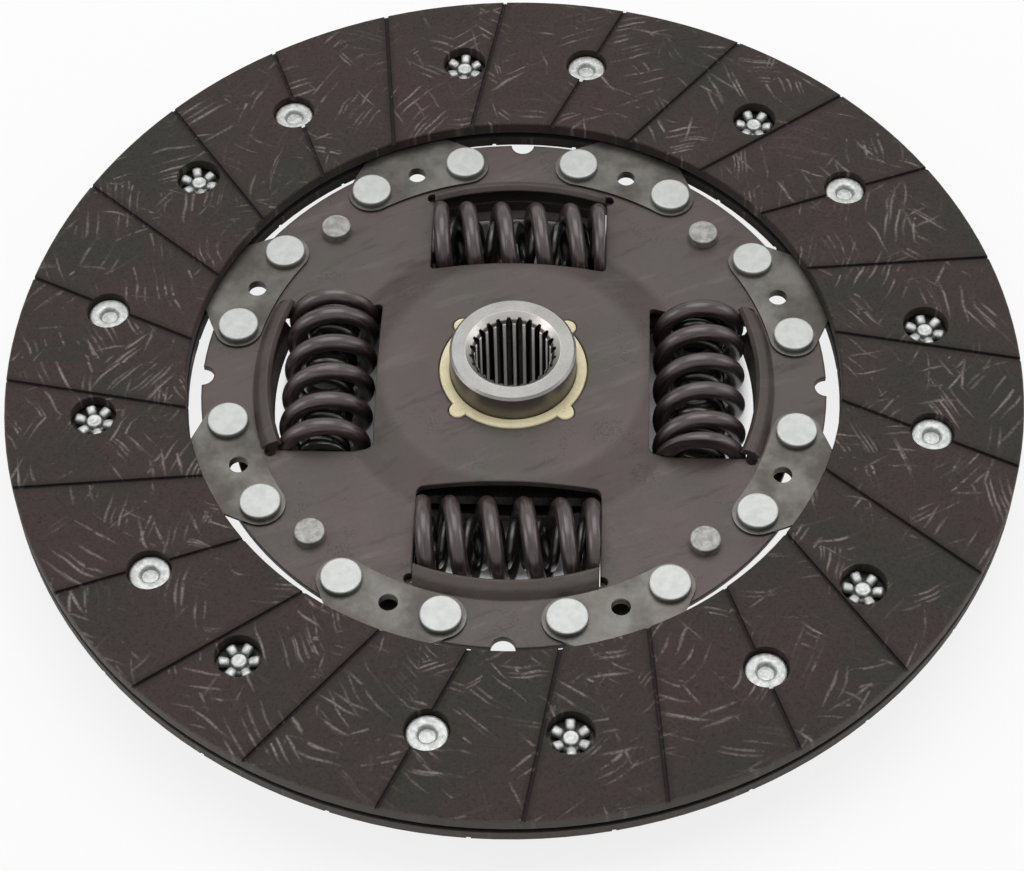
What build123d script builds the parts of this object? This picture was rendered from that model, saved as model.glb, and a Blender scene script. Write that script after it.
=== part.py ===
from build123d import *
import math
import os

# Clutch disc: a driven plate with a torsional damper.  Millimetres.
# The axis is Z.  z = 0 is midway between the two friction linings, and +Z points
# to the side of the short hub nose.  "Front" is the +Z side, "rear" the -Z side.
#
# Axial stack from the middle outwards:
#   cushion segments on the mid plane, riveted to the front face of the drive plate;
#   behind the drive plate the hub flange, then the retainer plate;
#   four nested spring pairs stand in windows cut through plates and flange alike.

# ---- driving dimensions -------------------------------------------------------------

LINING_OD = 240.0
LINING_THICKNESS = 3.2
LINING_SPACING = 1.8            # between the two linings' backs

SEGMENT_THICKNESS = 0.7
PLATE_THICKNESS = 1.6
FLANGE_THICKNESS = 3.1

HUB_RADIUS = 14.9
HUB_NOSE_Z = 12.3
HUB_TAIL_Z = -17.7
SPLINE_TEETH = 24
SPLINE_MINOR_RADIUS = 8.95
SPLINE_DEPTH = 1.25

SPRING_PITCH_RADIUS = 44.1      # disc axis to spring axis
SPRING_OUTER_RADIUS = 11.0
SPRING_WIRE = 4.1
INNER_SPRING_WIRE = 2.6
WINDOW_LENGTH = 42.8
WINDOW_COUNT = 4

SEGMENT_COUNT = 8
LOBE_RADIUS = 5.8               # lobe of a segment's foot, round its rivet
SEGMENT_RIVET_ANGLE = 10.51     # each side of the segment's middle
LINING_RIVET_ANGLE = 13.43      # each side of the segment's middle
TWIST_LIMIT = 8.0               # degrees each way between hub and plates

# ---- named clearances ---------------------------------------------------------------

AXIAL_GAP = 0.3                 # between the flange and what it turns against
HUB_RUNNING_GAP = 0.05          # radial, friction rings on the hub
STOP_GAP = 0.3                  # left between flange and stop pin at full twist
SPRING_END_GAP = 0.2            # each end of a spring in its window
HOLE_GAP = 0.1                  # radial, rivet shanks in their holes
BUSH_GAP = 0.2                  # radial, friction ring in the plate's centre hole
NEST_GAP = 0.6                  # radial, inner spring inside the outer one
WINDOW_GAP = 0.9                # from a spring to its window's inner edge
LIP_SPACE = 6.8                 # from a spring to the root of its window's lip
LOBE_GAP = 0.5                  # from a lip's root to the segments' lobes
LINING_GAP = 3.3                # from the drive plate's rim to the linings
FLANGE_GAP = 1.4                # from the flange's arms to the segment rivets' tails
HEAD_GAP = 0.55                 # radial, round a lining rivet's head in its counterbore
TAIL_GAP = 0.9                  # radial, round a lining rivet's tail in the other lining
PADDLE_GAP = 2.5                # from the linings' inner rim to the segments' paddles
PADDLE_INSET = 1.6              # from the paddles' outer edge to the linings' rim
OVERCUT = 5.0                   # how far a cutter runs past what it cuts

# ---- heights worked out from the stack ----------------------------------------------

LINING_BACK = LINING_SPACING / 2
LINING_FACE = LINING_BACK + LINING_THICKNESS
DRIVE_TOP = -SEGMENT_THICKNESS / 2
DRIVE_BOTTOM = DRIVE_TOP - PLATE_THICKNESS
FLANGE_TOP = DRIVE_BOTTOM - AXIAL_GAP
FLANGE_BOTTOM = FLANGE_TOP - FLANGE_THICKNESS
FLANGE_MID = (FLANGE_TOP + FLANGE_BOTTOM) / 2
RETAINER_TOP = FLANGE_BOTTOM - AXIAL_GAP
RETAINER_BOTTOM = RETAINER_TOP - PLATE_THICKNESS

# ---- radii worked out from the hub and from the springs outwards ---------------------

SLEEVE_WALL = 2.45              # of the friction rings, round the hub
COLLAR_WIDTH = 9.6              # of the friction rings' collars, outside the sleeve
RING_BORE = HUB_RADIUS + HUB_RUNNING_GAP
SLEEVE_RADIUS = RING_BORE + SLEEVE_WALL
COLLAR_RADIUS = SLEEVE_RADIUS + COLLAR_WIDTH

# Both plates rise into a dome round the hub, which houses the friction rings.
DOME_HEIGHT = 4.95
DOME_MARGIN = 4.5               # flat top of the dome outside the collar
DOME_SLOPE = 11.0               # radial width of the dome's side
DOME_BEND = 5.0                 # inside bend radius
DOME_TOP_RADIUS = COLLAR_RADIUS + DOME_MARGIN
DOME_FOOT_RADIUS = DOME_TOP_RADIUS + DOME_SLOPE
DOME_TOP = DRIVE_TOP + DOME_HEIGHT
DOME_ROOF = DOME_TOP - PLATE_THICKNESS

RIM_WIDTH = 6.0                 # drive plate outside the segment rivets' circle
PIN_OFFSET = 2.0                # stop pins' circle outside the lips' roots
RETAINER_RIM = 3.7              # retainer plate outside the stop pins' circle
RIVET_ROW_OFFSET = 0.45         # lining rivets' circle outside the middle of the lining
WINDOW_HALF = WINDOW_LENGTH / 2
WINDOW_INNER = SPRING_PITCH_RADIUS - SPRING_OUTER_RADIUS - WINDOW_GAP
LIP_ROOT_RADIUS = SPRING_PITCH_RADIUS + SPRING_OUTER_RADIUS + LIP_SPACE
STOP_PIN_RADIUS = LIP_ROOT_RADIUS + PIN_OFFSET
RETAINER_RADIUS = STOP_PIN_RADIUS + RETAINER_RIM
SEGMENT_RIVET_RADIUS = LIP_ROOT_RADIUS + LOBE_GAP + LOBE_RADIUS
DRIVE_PLATE_RADIUS = SEGMENT_RIVET_RADIUS + RIM_WIDTH
LINING_ID = 2 * (DRIVE_PLATE_RADIUS + LINING_GAP)
LINING_RIVET_RADIUS = (LINING_OD + LINING_ID) / 4 + RIVET_ROW_OFFSET

LIP_KNEE = (1.5, 2.1)           # from the root: inwards and up to where the lip leans over
LIP_TIP = (3.5, 3.3)            # from the root: inwards and up to the lip's edge
LIP_LEAN = 39.0                 # degrees, mean slope that sets the lip's thickness
LIP_SLIT = 0.3                  # between the lip's ends and the window's ends
RELIEF_RADIUS = 1.35

SEGMENT_ANGLES = [360 / SEGMENT_COUNT * (i + 0.5) for i in range(SEGMENT_COUNT)]
WINDOW_ANGLES = [360 / WINDOW_COUNT * i for i in range(WINDOW_COUNT)]
PIN_ANGLES = [a + 180 / WINDOW_COUNT for a in WINDOW_ANGLES]


# ---- helpers ------------------------------------------------------------------------

def ring(outer, inner, low, high):
    """A plain ring about Z between two heights."""
    height = high - low
    return Pos(0, 0, (low + high) / 2) * (Cylinder(outer, height) - Cylinder(inner, height))


def disc(radius, low, high):
    """A plain disc about Z between two heights."""
    return Pos(0, 0, (low + high) / 2) * Cylinder(radius, high - low)


def polar(radius, angle, height=0.0):
    """A place given by its radius and its angle from +X."""
    turn = math.radians(angle)
    return Pos(radius * math.cos(turn), radius * math.sin(turn), height)


def spun(points, radii, angle=360.0, start=0.0):
    """A section in radius and height, with rounded corners, revolved about Z."""
    outline = FilletPolyline(*points, radius=radii, close=True)
    section = Plane.XZ * make_face(outline)
    return Rot(0, 0, start) * revolve(section, Axis.Z, angle)


def mirrored(shape, height):
    """The shape turned over through a level plane at this height."""
    return mirror(shape, Plane.XY.offset(height))


def group(solids):
    """Like pieces kept together as separate solids."""
    return Compound(children=[s.solid() for s in solids])


# ---- friction linings ---------------------------------------------------------------

GROOVE_COUNT = 24
GROOVE_WIDTH = 1.0
GROOVE_DEPTH = 0.8
GROOVE_TANGENT_RADIUS = 25.0    # the grooves' lines all touch this circle
GROOVE_OUTER_ANGLE = 2.8        # degrees from +X to where one groove meets the rim
LINING_EDGE = 0.3
HEAD_SEAT = 0.7                 # lining left under a rivet head
RIVET_SHANK = 2.7
RIVET_HEAD_RADIUS = 4.65
RIVET_HEAD_THICKNESS = 0.8
PETAL_REACH = 4.5               # outside radius of the rivet's rolled-over tail
COUNTERBORE_RADIUS = RIVET_HEAD_RADIUS + HEAD_GAP
ACCESS_RADIUS = PETAL_REACH + TAIL_GAP


def groove():
    """One straight groove, skewed so that its line misses the axis."""
    reach = LINING_OD / 2
    skew = math.degrees(math.asin(GROOVE_TANGENT_RADIUS / reach))
    cutter = Box(reach, GROOVE_WIDTH, GROOVE_DEPTH * 2)
    along = math.sqrt(reach ** 2 - GROOVE_TANGENT_RADIUS ** 2)
    cutter = Pos(along - reach / 2 + OVERCUT, GROOVE_TANGENT_RADIUS, LINING_FACE) * cutter
    return Rot(0, 0, GROOVE_OUTER_ANGLE - skew) * cutter


def lining():
    """The front lining: counterbored rivet holes, plain access holes, skewed grooves."""
    body = ring(LINING_OD / 2, LINING_ID / 2, LINING_BACK, LINING_FACE)
    rims = body.edges().filter_by(GeomType.CIRCLE).group_by(Axis.Z)[-1]
    body = chamfer(rims, LINING_EDGE)
    seat = LINING_BACK + HEAD_SEAT
    cutters = []
    for middle in SEGMENT_ANGLES:
        own = polar(LINING_RIVET_RADIUS, middle + LINING_RIVET_ANGLE)
        other = polar(LINING_RIVET_RADIUS, middle - LINING_RIVET_ANGLE)
        cutters.append(own * disc(RIVET_SHANK + HOLE_GAP, 0, LINING_FACE))
        cutters.append(own * disc(COUNTERBORE_RADIUS, seat, LINING_FACE + OVERCUT))
        cutters.append(other * disc(ACCESS_RADIUS, 0, LINING_FACE + OVERCUT))
    for i in range(GROOVE_COUNT):
        cutters.append(Rot(0, 0, 360 / GROOVE_COUNT * i) * groove())
    return body - cutters


# ---- cushion segments ---------------------------------------------------------------

NECK_HALF = 8.2
PADDLE_INNER = LINING_ID / 2 + PADDLE_GAP
PADDLE_OUTER = LINING_OD / 2 - PADDLE_INSET
PADDLE_ANGLE = 20.9             # half of the paddle's arc
PADDLE_CORNER = 4.0
SIGHT_HOLE = 2.25               # radius of the hole between the two big rivets
SIGHT_HOLE_OFFSET = 0.2         # its middle lies this far outside the rivets' circle
SIGHT_HOLE_RADIUS = SEGMENT_RIVET_RADIUS + SIGHT_HOLE_OFFSET
PAD_START = 16.5                # sideways distance at which the raised pads begin
FLAT_END = 11.5                 # the middle stays flat out to here
WAVE_BEND = 6.0                 # bend radius of the wave
NECK_OVERLAP = 5.0              # the neck runs this far into the paddle


def sector(outer, inner, half_angle, low, high):
    """A piece of a ring, centred on +Y."""
    section = Plane.XZ * Pos((outer + inner) / 2, (low + high) / 2) * Rectangle(outer - inner, high - low)
    return Rot(0, 0, 90 - half_angle) * revolve(section, Axis.Z, 2 * half_angle)


def segment_foot():
    """The flat foot on the drive plate, with two round lobes and a neck; on +Y."""
    half = SEGMENT_THICKNESS / 2
    foot = sector(SEGMENT_RIVET_RADIUS + LOBE_RADIUS, SEGMENT_RIVET_RADIUS - LOBE_RADIUS,
                  SEGMENT_RIVET_ANGLE, -half, half)
    for side in (-1, 1):
        foot += polar(SEGMENT_RIVET_RADIUS, 90 + side * SEGMENT_RIVET_ANGLE) * disc(LOBE_RADIUS, -half, half)
    return foot + segment_neck()


def segment_neck():
    """From the lobes' outer shoulders the neck narrows at 45 degrees towards the paddle; on +Y."""
    turn = math.radians(SEGMENT_RIVET_ANGLE)
    lobe_x = SEGMENT_RIVET_RADIUS * math.sin(turn)
    lobe_y = SEGMENT_RIVET_RADIUS * math.cos(turn)
    shoulder = LOBE_RADIUS * math.sqrt(0.5)
    waist_y = lobe_y + shoulder + (lobe_x + shoulder - NECK_HALF)
    right = [(lobe_x, lobe_y), (lobe_x + shoulder, lobe_y + shoulder), (NECK_HALF, waist_y),
             (NECK_HALF, PADDLE_INNER + NECK_OVERLAP)]
    left = [(-x, y) for x, y in reversed(right)]
    outline = make_face(Polyline(*right, *left, close=True))
    return Pos(0, 0, -SEGMENT_THICKNESS / 2) * extrude(outline, SEGMENT_THICKNESS)


def segment_paddle():
    """The wide part between the linings, cut from the waved strip; on +Y."""
    outline = sector(PADDLE_OUTER, PADDLE_INNER, PADDLE_ANGLE, -LINING_SPACING, LINING_SPACING)
    outline = fillet(outline.edges().filter_by(Axis.Z), PADDLE_CORNER)
    return outline & wave_strip()


def wave_strip():
    """The rolled strip: flat in the middle, one pad raised and the other lowered."""
    lift = LINING_BACK - SEGMENT_THICKNESS / 2
    half = SEGMENT_THICKNESS / 2
    reach = PADDLE_OUTER / 2
    line = [
        (-reach, lift), (-PAD_START, lift), (-FLAT_END, 0),
        (FLAT_END, 0), (PAD_START, -lift), (reach, -lift),
    ]
    upper = [(x, z + half) for x, z in line]
    lower = [(x, z - half) for x, z in reversed(line)]
    bends = 2 * [0, WAVE_BEND, WAVE_BEND, WAVE_BEND, WAVE_BEND, 0]
    section = Plane.XZ * make_face(FilletPolyline(*upper, *lower, radius=bends, close=True))
    return extrude(section, amount=-PADDLE_OUTER - OVERCUT)


def cushion_segment(middle):
    """One waved spring-steel segment, turned to its place."""
    blank = segment_foot() + segment_paddle()
    holes = [polar(SIGHT_HOLE_RADIUS, 90) * disc(SIGHT_HOLE, -OVERCUT, OVERCUT)]
    for side in (-1, 1):
        holes.append(polar(SEGMENT_RIVET_RADIUS, 90 + side * SEGMENT_RIVET_ANGLE)
                     * disc(SEGMENT_RIVET_SHANK + HOLE_GAP, -OVERCUT, OVERCUT))
        holes.append(polar(LINING_RIVET_RADIUS, 90 + side * LINING_RIVET_ANGLE)
                     * disc(RIVET_SHANK + HOLE_GAP, -OVERCUT, OVERCUT))
    return Rot(0, 0, middle - 90) * (blank - holes)


# ---- rivets and pins ----------------------------------------------------------------

SEGMENT_RIVET_SHANK = 3.0
SEGMENT_RIVET_HEAD = 4.8
SEGMENT_RIVET_HEIGHT = 1.55
SEGMENT_RIVET_TAIL = 4.4
SEGMENT_RIVET_TAIL_HEIGHT = 1.2
PIN_BODY = 4.3                  # radius of the stop pin between the plates
PIN_SPIGOT = 2.8
PIN_HEAD = 3.6
PIN_HEAD_HEIGHT = 2.2
PIN_TAIL_HEIGHT = 1.6
PETAL_COUNT = 6
PETAL_CREST = 3.3               # radius at which the roll turns down to the middle
PETAL_HEIGHT = 2.6
PETAL_ROLL = 1.0                # rounding of the rolled metal
PETAL_SLOT = 1.1
PETAL_ROOT = 0.3                # height of the unsplit metal under the petals
TAIL_FLOOR = 0.8                # thickness of the closed middle
TAIL_CORE = 2.0                 # radius of the closed middle
RIVET_BORE = 1.9
RIVET_MOUTH = 2.5               # the bore widens to this at the head's face
SMALL_EDGE = 0.15
HEAD_EDGE = 0.4                 # rounding of the solid rivets' and pins' edges


def lining_rivet(turn):
    """Head up in the front lining's counterbore; the tail is split and rolled over behind the segment."""
    seat = LINING_BACK + HEAD_SEAT
    face = seat + RIVET_HEAD_THICKNESS
    under = LINING_BACK - SEGMENT_THICKNESS
    crest = under - PETAL_HEIGHT
    points = [
        (0, LINING_BACK), (RIVET_BORE, LINING_BACK),
        (RIVET_BORE, face - RIVET_MOUTH + RIVET_BORE), (RIVET_MOUTH, face),
        (RIVET_HEAD_RADIUS, face), (RIVET_HEAD_RADIUS, seat), (RIVET_SHANK, seat), (RIVET_SHANK, under),
        (PETAL_REACH, under), (PETAL_REACH, crest), (PETAL_CREST, crest),
        (TAIL_CORE, under - TAIL_FLOOR), (0, under - TAIL_FLOOR),
    ]
    edges = [0, 0, SMALL_EDGE, SMALL_EDGE, HEAD_EDGE, SMALL_EDGE, 0, 0, HEAD_EDGE, PETAL_ROLL,
             SMALL_EDGE, HEAD_EDGE, 0]
    slot = Box(PETAL_REACH, PETAL_SLOT, PETAL_HEIGHT)
    slot = Pos(TAIL_CORE + PETAL_REACH / 2, 0, under - PETAL_ROOT - PETAL_HEIGHT / 2) * slot
    slots = [Rot(0, 0, turn + 360 / PETAL_COUNT * i) * slot for i in range(PETAL_COUNT)]
    return spun(points, edges) - slots


def front_lining_rivets():
    """The rivets whose heads show in the front lining."""
    return [polar(LINING_RIVET_RADIUS, a + LINING_RIVET_ANGLE) * lining_rivet(a) for a in SEGMENT_ANGLES]


def segment_rivet():
    """Flat-headed rivet through a segment's lobe and the drive plate."""
    top = -DRIVE_TOP
    head = disc(SEGMENT_RIVET_HEAD, top, top + SEGMENT_RIVET_HEIGHT)
    head = fillet(head.edges().group_by(Axis.Z)[-1], HEAD_EDGE)
    shank = disc(SEGMENT_RIVET_SHANK, DRIVE_BOTTOM, top)
    tail = disc(SEGMENT_RIVET_TAIL, DRIVE_BOTTOM - SEGMENT_RIVET_TAIL_HEIGHT, DRIVE_BOTTOM)
    tail = fillet(tail.edges().group_by(Axis.Z)[0], HEAD_EDGE)
    return head + shank + tail


def segment_rivets():
    """Two rivets through each segment's foot."""
    angles = [a + side * SEGMENT_RIVET_ANGLE for a in SEGMENT_ANGLES for side in (-1, 1)]
    return [polar(SEGMENT_RIVET_RADIUS, a) * segment_rivet() for a in angles]


def stop_pin():
    """Shouldered pin that spaces the two plates and stops the flange."""
    head = disc(PIN_HEAD, DRIVE_TOP, DRIVE_TOP + PIN_HEAD_HEIGHT)
    head = fillet(head.edges().group_by(Axis.Z)[-1], HEAD_EDGE)
    spigots = disc(PIN_SPIGOT, RETAINER_BOTTOM, DRIVE_TOP)
    body = disc(PIN_BODY, RETAINER_TOP, DRIVE_BOTTOM)
    tail = disc(PIN_HEAD, RETAINER_BOTTOM - PIN_TAIL_HEIGHT, RETAINER_BOTTOM)
    tail = fillet(tail.edges().group_by(Axis.Z)[0], HEAD_EDGE)
    return head + spigots + body + tail


# ---- drive plate and retainer plate -------------------------------------------------

NOTCH_RADIUS = 2.8              # half-round notches in the drive plate's rim
LUG_RADIUS = 2.1                # lugs that key the friction rings to the plates
LUG_OFFSET = 0.3                # their middles lie this far outside the rings' sleeves
LUG_CIRCLE = SLEEVE_RADIUS + LUG_OFFSET
CENTRE_HOLE = SLEEVE_RADIUS + BUSH_GAP
LOBE_RIM = 3.0                  # the retainer's rim swells round each stop pin's head
RETAINER_LOBE = PIN_HEAD + LOBE_RIM
PLATE_EDGE = 0.2                # rounding of the pressed edges
WINDOW_CORNER = 1.5
RELIEF_OFFSET = 0.4             # how far a relief hole's middle lies outside the window's corner
LIP_BEND = 0.3                  # inside bend radius at the lip's knee
LIP_MARGIN = 2.0                # degrees that the lip is made too long, before its ends are cut square


def domed_disc(radius):
    """Flat outside, domed round the hub, with even sheet thickness."""
    slope = math.atan2(DOME_HEIGHT, DOME_FOOT_RADIUS - DOME_TOP_RADIUS)
    shift = PLATE_THICKNESS * math.tan(slope / 2)
    points = [
        (radius, DRIVE_TOP), (DOME_FOOT_RADIUS, DRIVE_TOP),
        (DOME_TOP_RADIUS, DOME_TOP), (CENTRE_HOLE, DOME_TOP),
        (CENTRE_HOLE, DOME_ROOF), (DOME_TOP_RADIUS - shift, DOME_ROOF),
        (DOME_FOOT_RADIUS - shift, DRIVE_BOTTOM), (radius, DRIVE_BOTTOM),
    ]
    outer_bend = DOME_BEND + PLATE_THICKNESS
    radii = [PLATE_EDGE, DOME_BEND, outer_bend, PLATE_EDGE, PLATE_EDGE, DOME_BEND, outer_bend, PLATE_EDGE]
    return spun(points, radii)


def spring_window():
    """Cutter on +Y: straight sides, an arched outer end and two relief holes."""
    depth = 4 * DOME_TOP
    length = LIP_ROOT_RADIUS - WINDOW_INNER
    blank = Pos(0, WINDOW_INNER + length / 2, 0) * Box(WINDOW_LENGTH, length, depth)
    inner_corners = blank.edges().filter_by(Axis.Z).group_by(Axis.Y)[0]
    blank = fillet(inner_corners, WINDOW_CORNER)
    blank &= disc(LIP_ROOT_RADIUS - PLATE_THICKNESS, -depth, depth)
    relief_y = math.sqrt((LIP_ROOT_RADIUS - RELIEF_RADIUS) ** 2 - WINDOW_HALF ** 2) - RELIEF_OFFSET
    for side in (-1, 1):
        blank += Pos(side * (WINDOW_HALF + RELIEF_OFFSET), relief_y, 0) * Cylinder(RELIEF_RADIUS, depth)
    return blank


def window_lip():
    """The strip at the window's outer edge, bent up and over the spring; on +Y."""
    lean = math.radians(LIP_LEAN)
    inwards = PLATE_THICKNESS * math.sin(lean)
    down = PLATE_THICKNESS * math.cos(lean)
    knee = (LIP_ROOT_RADIUS - LIP_KNEE[0], DRIVE_TOP + LIP_KNEE[1])
    tip = (LIP_ROOT_RADIUS - LIP_TIP[0], DRIVE_TOP + LIP_TIP[1])
    points = [
        (LIP_ROOT_RADIUS, DRIVE_TOP), knee, tip,
        (tip[0] - inwards, tip[1] - down), (knee[0] - inwards, knee[1] - down),
        (LIP_ROOT_RADIUS - PLATE_THICKNESS, DRIVE_BOTTOM), (LIP_ROOT_RADIUS, DRIVE_BOTTOM),
    ]
    bends = [0, LIP_BEND + PLATE_THICKNESS, 0, 0, LIP_BEND, 0, 0]
    half_angle = math.degrees(math.asin(WINDOW_HALF / tip[0])) + LIP_MARGIN
    strip = spun(points, bends, 2 * half_angle, 90 - half_angle)
    return strip & Box(WINDOW_LENGTH - 2 * LIP_SLIT, 2 * DRIVE_PLATE_RADIUS, 4 * DOME_TOP)


def damper_plate(blank):
    """Windows, lips, pin and lug holes, which the drive plate and the retainer share."""
    cutters = [Rot(0, 0, a) * spring_window() for a in WINDOW_ANGLES]
    for a in PIN_ANGLES:
        cutters.append(polar(STOP_PIN_RADIUS, a) * disc(PIN_SPIGOT + HOLE_GAP, -OVERCUT, OVERCUT))
        cutters.append(polar(LUG_CIRCLE, a) * disc(LUG_RADIUS + BUSH_GAP, 0, DOME_TOP + OVERCUT))
    plate = blank - cutters
    for a in WINDOW_ANGLES:
        plate += Rot(0, 0, a) * window_lip()
    return plate


def front_drive_plate():
    """The larger plate, which carries the cushion segments."""
    plate = damper_plate(domed_disc(DRIVE_PLATE_RADIUS))
    cutters = [polar(DRIVE_PLATE_RADIUS, a) * disc(NOTCH_RADIUS, -OVERCUT, OVERCUT) for a in WINDOW_ANGLES]
    for middle in SEGMENT_ANGLES:
        cutters.append(polar(SIGHT_HOLE_RADIUS, middle) * disc(SIGHT_HOLE, -OVERCUT, OVERCUT))
        for side in (-1, 1):
            cutters.append(polar(SEGMENT_RIVET_RADIUS, middle + side * SEGMENT_RIVET_ANGLE)
                           * disc(SEGMENT_RIVET_SHANK + HOLE_GAP, -OVERCUT, OVERCUT))
    return plate - cutters


def rear_retainer_plate():
    """The smaller plate behind the flange: the same windows, turned over, with a lobe at each pin."""
    lobe = disc(RETAINER_LOBE, DRIVE_BOTTOM, DRIVE_TOP)
    blank = domed_disc(RETAINER_RADIUS) + [polar(STOP_PIN_RADIUS, a) * lobe for a in PIN_ANGLES]
    return mirrored(damper_plate(blank), FLANGE_MID)


# ---- splined hub --------------------------------------------------------------------

FLANGE_RADIUS = SEGMENT_RIVET_RADIUS - SEGMENT_RIVET_TAIL - FLANGE_GAP
ARM_CORNER = 0.8                # chamfer at the arms' outer corners
BORE_CHAMFER = 1.3
HUB_EDGE = 0.6
TOOTH_TIP = 0.7                 # width of a tooth at the minor radius
ROOT_WIDTH = 0.75               # width of a groove at the major radius
MOUTH_MARGIN = 1.0              # the bore's mouth is chamfered this far beyond the grooves
SPLINE_MAJOR_RADIUS = SPLINE_MINOR_RADIUS + SPLINE_DEPTH
BORE_MOUTH = SPLINE_MAJOR_RADIUS + MOUTH_MARGIN


def spline_grooves():
    """All the grooves of the splined bore, as one cutter."""
    minor_pitch = 2 * math.pi * SPLINE_MINOR_RADIUS / SPLINE_TEETH
    mouth = (minor_pitch - TOOTH_TIP) / 2
    root = ROOT_WIDTH / 2
    inside = SPLINE_MINOR_RADIUS - mouth
    outline = Polyline((inside, -mouth), (SPLINE_MINOR_RADIUS, -mouth), (SPLINE_MAJOR_RADIUS, -root),
                       (SPLINE_MAJOR_RADIUS, root), (SPLINE_MINOR_RADIUS, mouth), (inside, mouth),
                       close=True)
    length = HUB_NOSE_Z - HUB_TAIL_Z + 2 * OVERCUT
    blade = Pos(0, 0, HUB_TAIL_Z - OVERCUT) * extrude(make_face(outline), length)
    step = 360 / SPLINE_TEETH
    return [Rot(0, 0, step * (i + 0.5)) * blade for i in range(SPLINE_TEETH)]


def hub_flange():
    """Four-armed star: the springs push on the arms' straight flanks."""
    star = disc(FLANGE_RADIUS, FLANGE_BOTTOM, FLANGE_TOP)
    reach = FLANGE_RADIUS
    for a in WINDOW_ANGLES:
        slot = Pos(0, WINDOW_INNER + reach / 2, FLANGE_MID) * Box(WINDOW_LENGTH, reach, 2 * FLANGE_THICKNESS)
        slot = fillet(slot.edges().filter_by(Axis.Z).group_by(Axis.Y)[0], WINDOW_CORNER)
        star -= Rot(0, 0, a) * slot
    pin_half = math.degrees(math.asin((PIN_BODY + STOP_GAP) / STOP_PIN_RADIUS))
    floor = STOP_PIN_RADIUS - PIN_BODY - 2 * STOP_GAP
    for a in PIN_ANGLES:
        notch = sector(FLANGE_RADIUS + OVERCUT, floor, TWIST_LIMIT + pin_half,
                       FLANGE_BOTTOM - OVERCUT, FLANGE_TOP + OVERCUT)
        star -= Rot(0, 0, a - 90) * notch
    rim = FLANGE_RADIUS - ARM_CORNER
    corners = [e for e in star.edges().filter_by(Axis.Z) if math.hypot(e.center().X, e.center().Y) > rim]
    return chamfer(corners, ARM_CORNER)


def splined_hub():
    """Sleeve and flange in one forging, with a splined bore."""
    sleeve = disc(HUB_RADIUS, HUB_TAIL_Z, HUB_NOSE_Z)
    sleeve = chamfer(sleeve.edges().filter_by(GeomType.CIRCLE), HUB_EDGE)
    hub = sleeve + hub_flange()
    hub -= disc(SPLINE_MINOR_RADIUS, HUB_TAIL_Z - OVERCUT, HUB_NOSE_Z + OVERCUT)
    hub -= spline_grooves()
    cone = Cone(BORE_MOUTH - 2 * BORE_CHAMFER, BORE_MOUTH, 2 * BORE_CHAMFER)
    hub -= Pos(0, 0, HUB_NOSE_Z - BORE_CHAMFER) * cone
    hub -= Pos(0, 0, HUB_TAIL_Z + BORE_CHAMFER) * Rot(180, 0, 0) * cone
    return hub


# ---- damper springs -----------------------------------------------------------------

OUTER_PITCH = 8.5
OUTER_CLOSING = 7.6             # how far each end advances while its pitch closes up
INNER_PITCH = 5.2
INNER_CLOSING = 5.08
CLOSING_TURNS = 1.4             # the pitch closes up over these turns at each end
OUTER_CLOCKING = [-0.40, -0.26, -0.57, -0.32]     # turns; each spring sits a little differently
INNER_CLOCKING = -0.26
POINTS_PER_TURN = 12
INNER_SPRING_RADIUS = SPRING_OUTER_RADIUS - SPRING_WIRE - NEST_GAP


def coil_position(turn, pitch, open_turns, closing_rise):
    """Distance along the spring from its middle, with the pitch closing at the ends."""
    past = max(0.0, abs(turn) - open_turns)
    final_pitch = 2 * closing_rise / CLOSING_TURNS - pitch
    closed = pitch * past + (final_pitch - pitch) * past ** 2 / (2 * CLOSING_TURNS)
    return math.copysign(min(abs(turn), open_turns) * pitch + closed, turn)


def coil_spring(outer_radius, wire, pitch, closing_rise, hand, clocking):
    """A coil along X with closed, ground ends; its turns follow from the window's length.

    hand is +1 for a right-hand coil and -1 for a left-hand one.
    """
    half_length = WINDOW_HALF - SPRING_END_GAP
    open_turns = (half_length - closing_rise) / pitch
    turns = 2 * (open_turns + CLOSING_TURNS)
    mean = outer_radius - wire / 2
    count = round(turns * POINTS_PER_TURN)
    points = []
    for i in range(count + 1):
        turn = turns * (i / count - 0.5)
        angle = hand * 2 * math.pi * (turn - clocking) + math.pi / 2
        along = coil_position(turn, pitch, open_turns, closing_rise)
        points.append((along, mean * math.cos(angle), mean * math.sin(angle)))
    path = Spline(*points)
    section = Plane(path @ 0, z_dir=path % 0) * Circle(wire / 2)
    coil = sweep(section, path, is_frenet=True)
    return coil & Box(2 * half_length, 4 * outer_radius, 4 * outer_radius)


def placed_spring(coil, window_angle):
    """Move a spring from its own axis to its window."""
    return Rot(0, 0, window_angle) * Pos(0, SPRING_PITCH_RADIUS, FLANGE_MID) * coil


def outer_spring(i):
    """The heavy right-handed spring of window i."""
    coil = coil_spring(SPRING_OUTER_RADIUS, SPRING_WIRE, OUTER_PITCH, OUTER_CLOSING, 1,
                       OUTER_CLOCKING[i])
    return placed_spring(coil, WINDOW_ANGLES[i])


def inner_spring(i):
    """The light left-handed spring nested inside it."""
    coil = coil_spring(INNER_SPRING_RADIUS, INNER_SPRING_WIRE, INNER_PITCH, INNER_CLOSING, -1,
                       INNER_CLOCKING)
    return placed_spring(coil, WINDOW_ANGLES[i])


# ---- friction rings and washers round the hub ---------------------------------------

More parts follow.
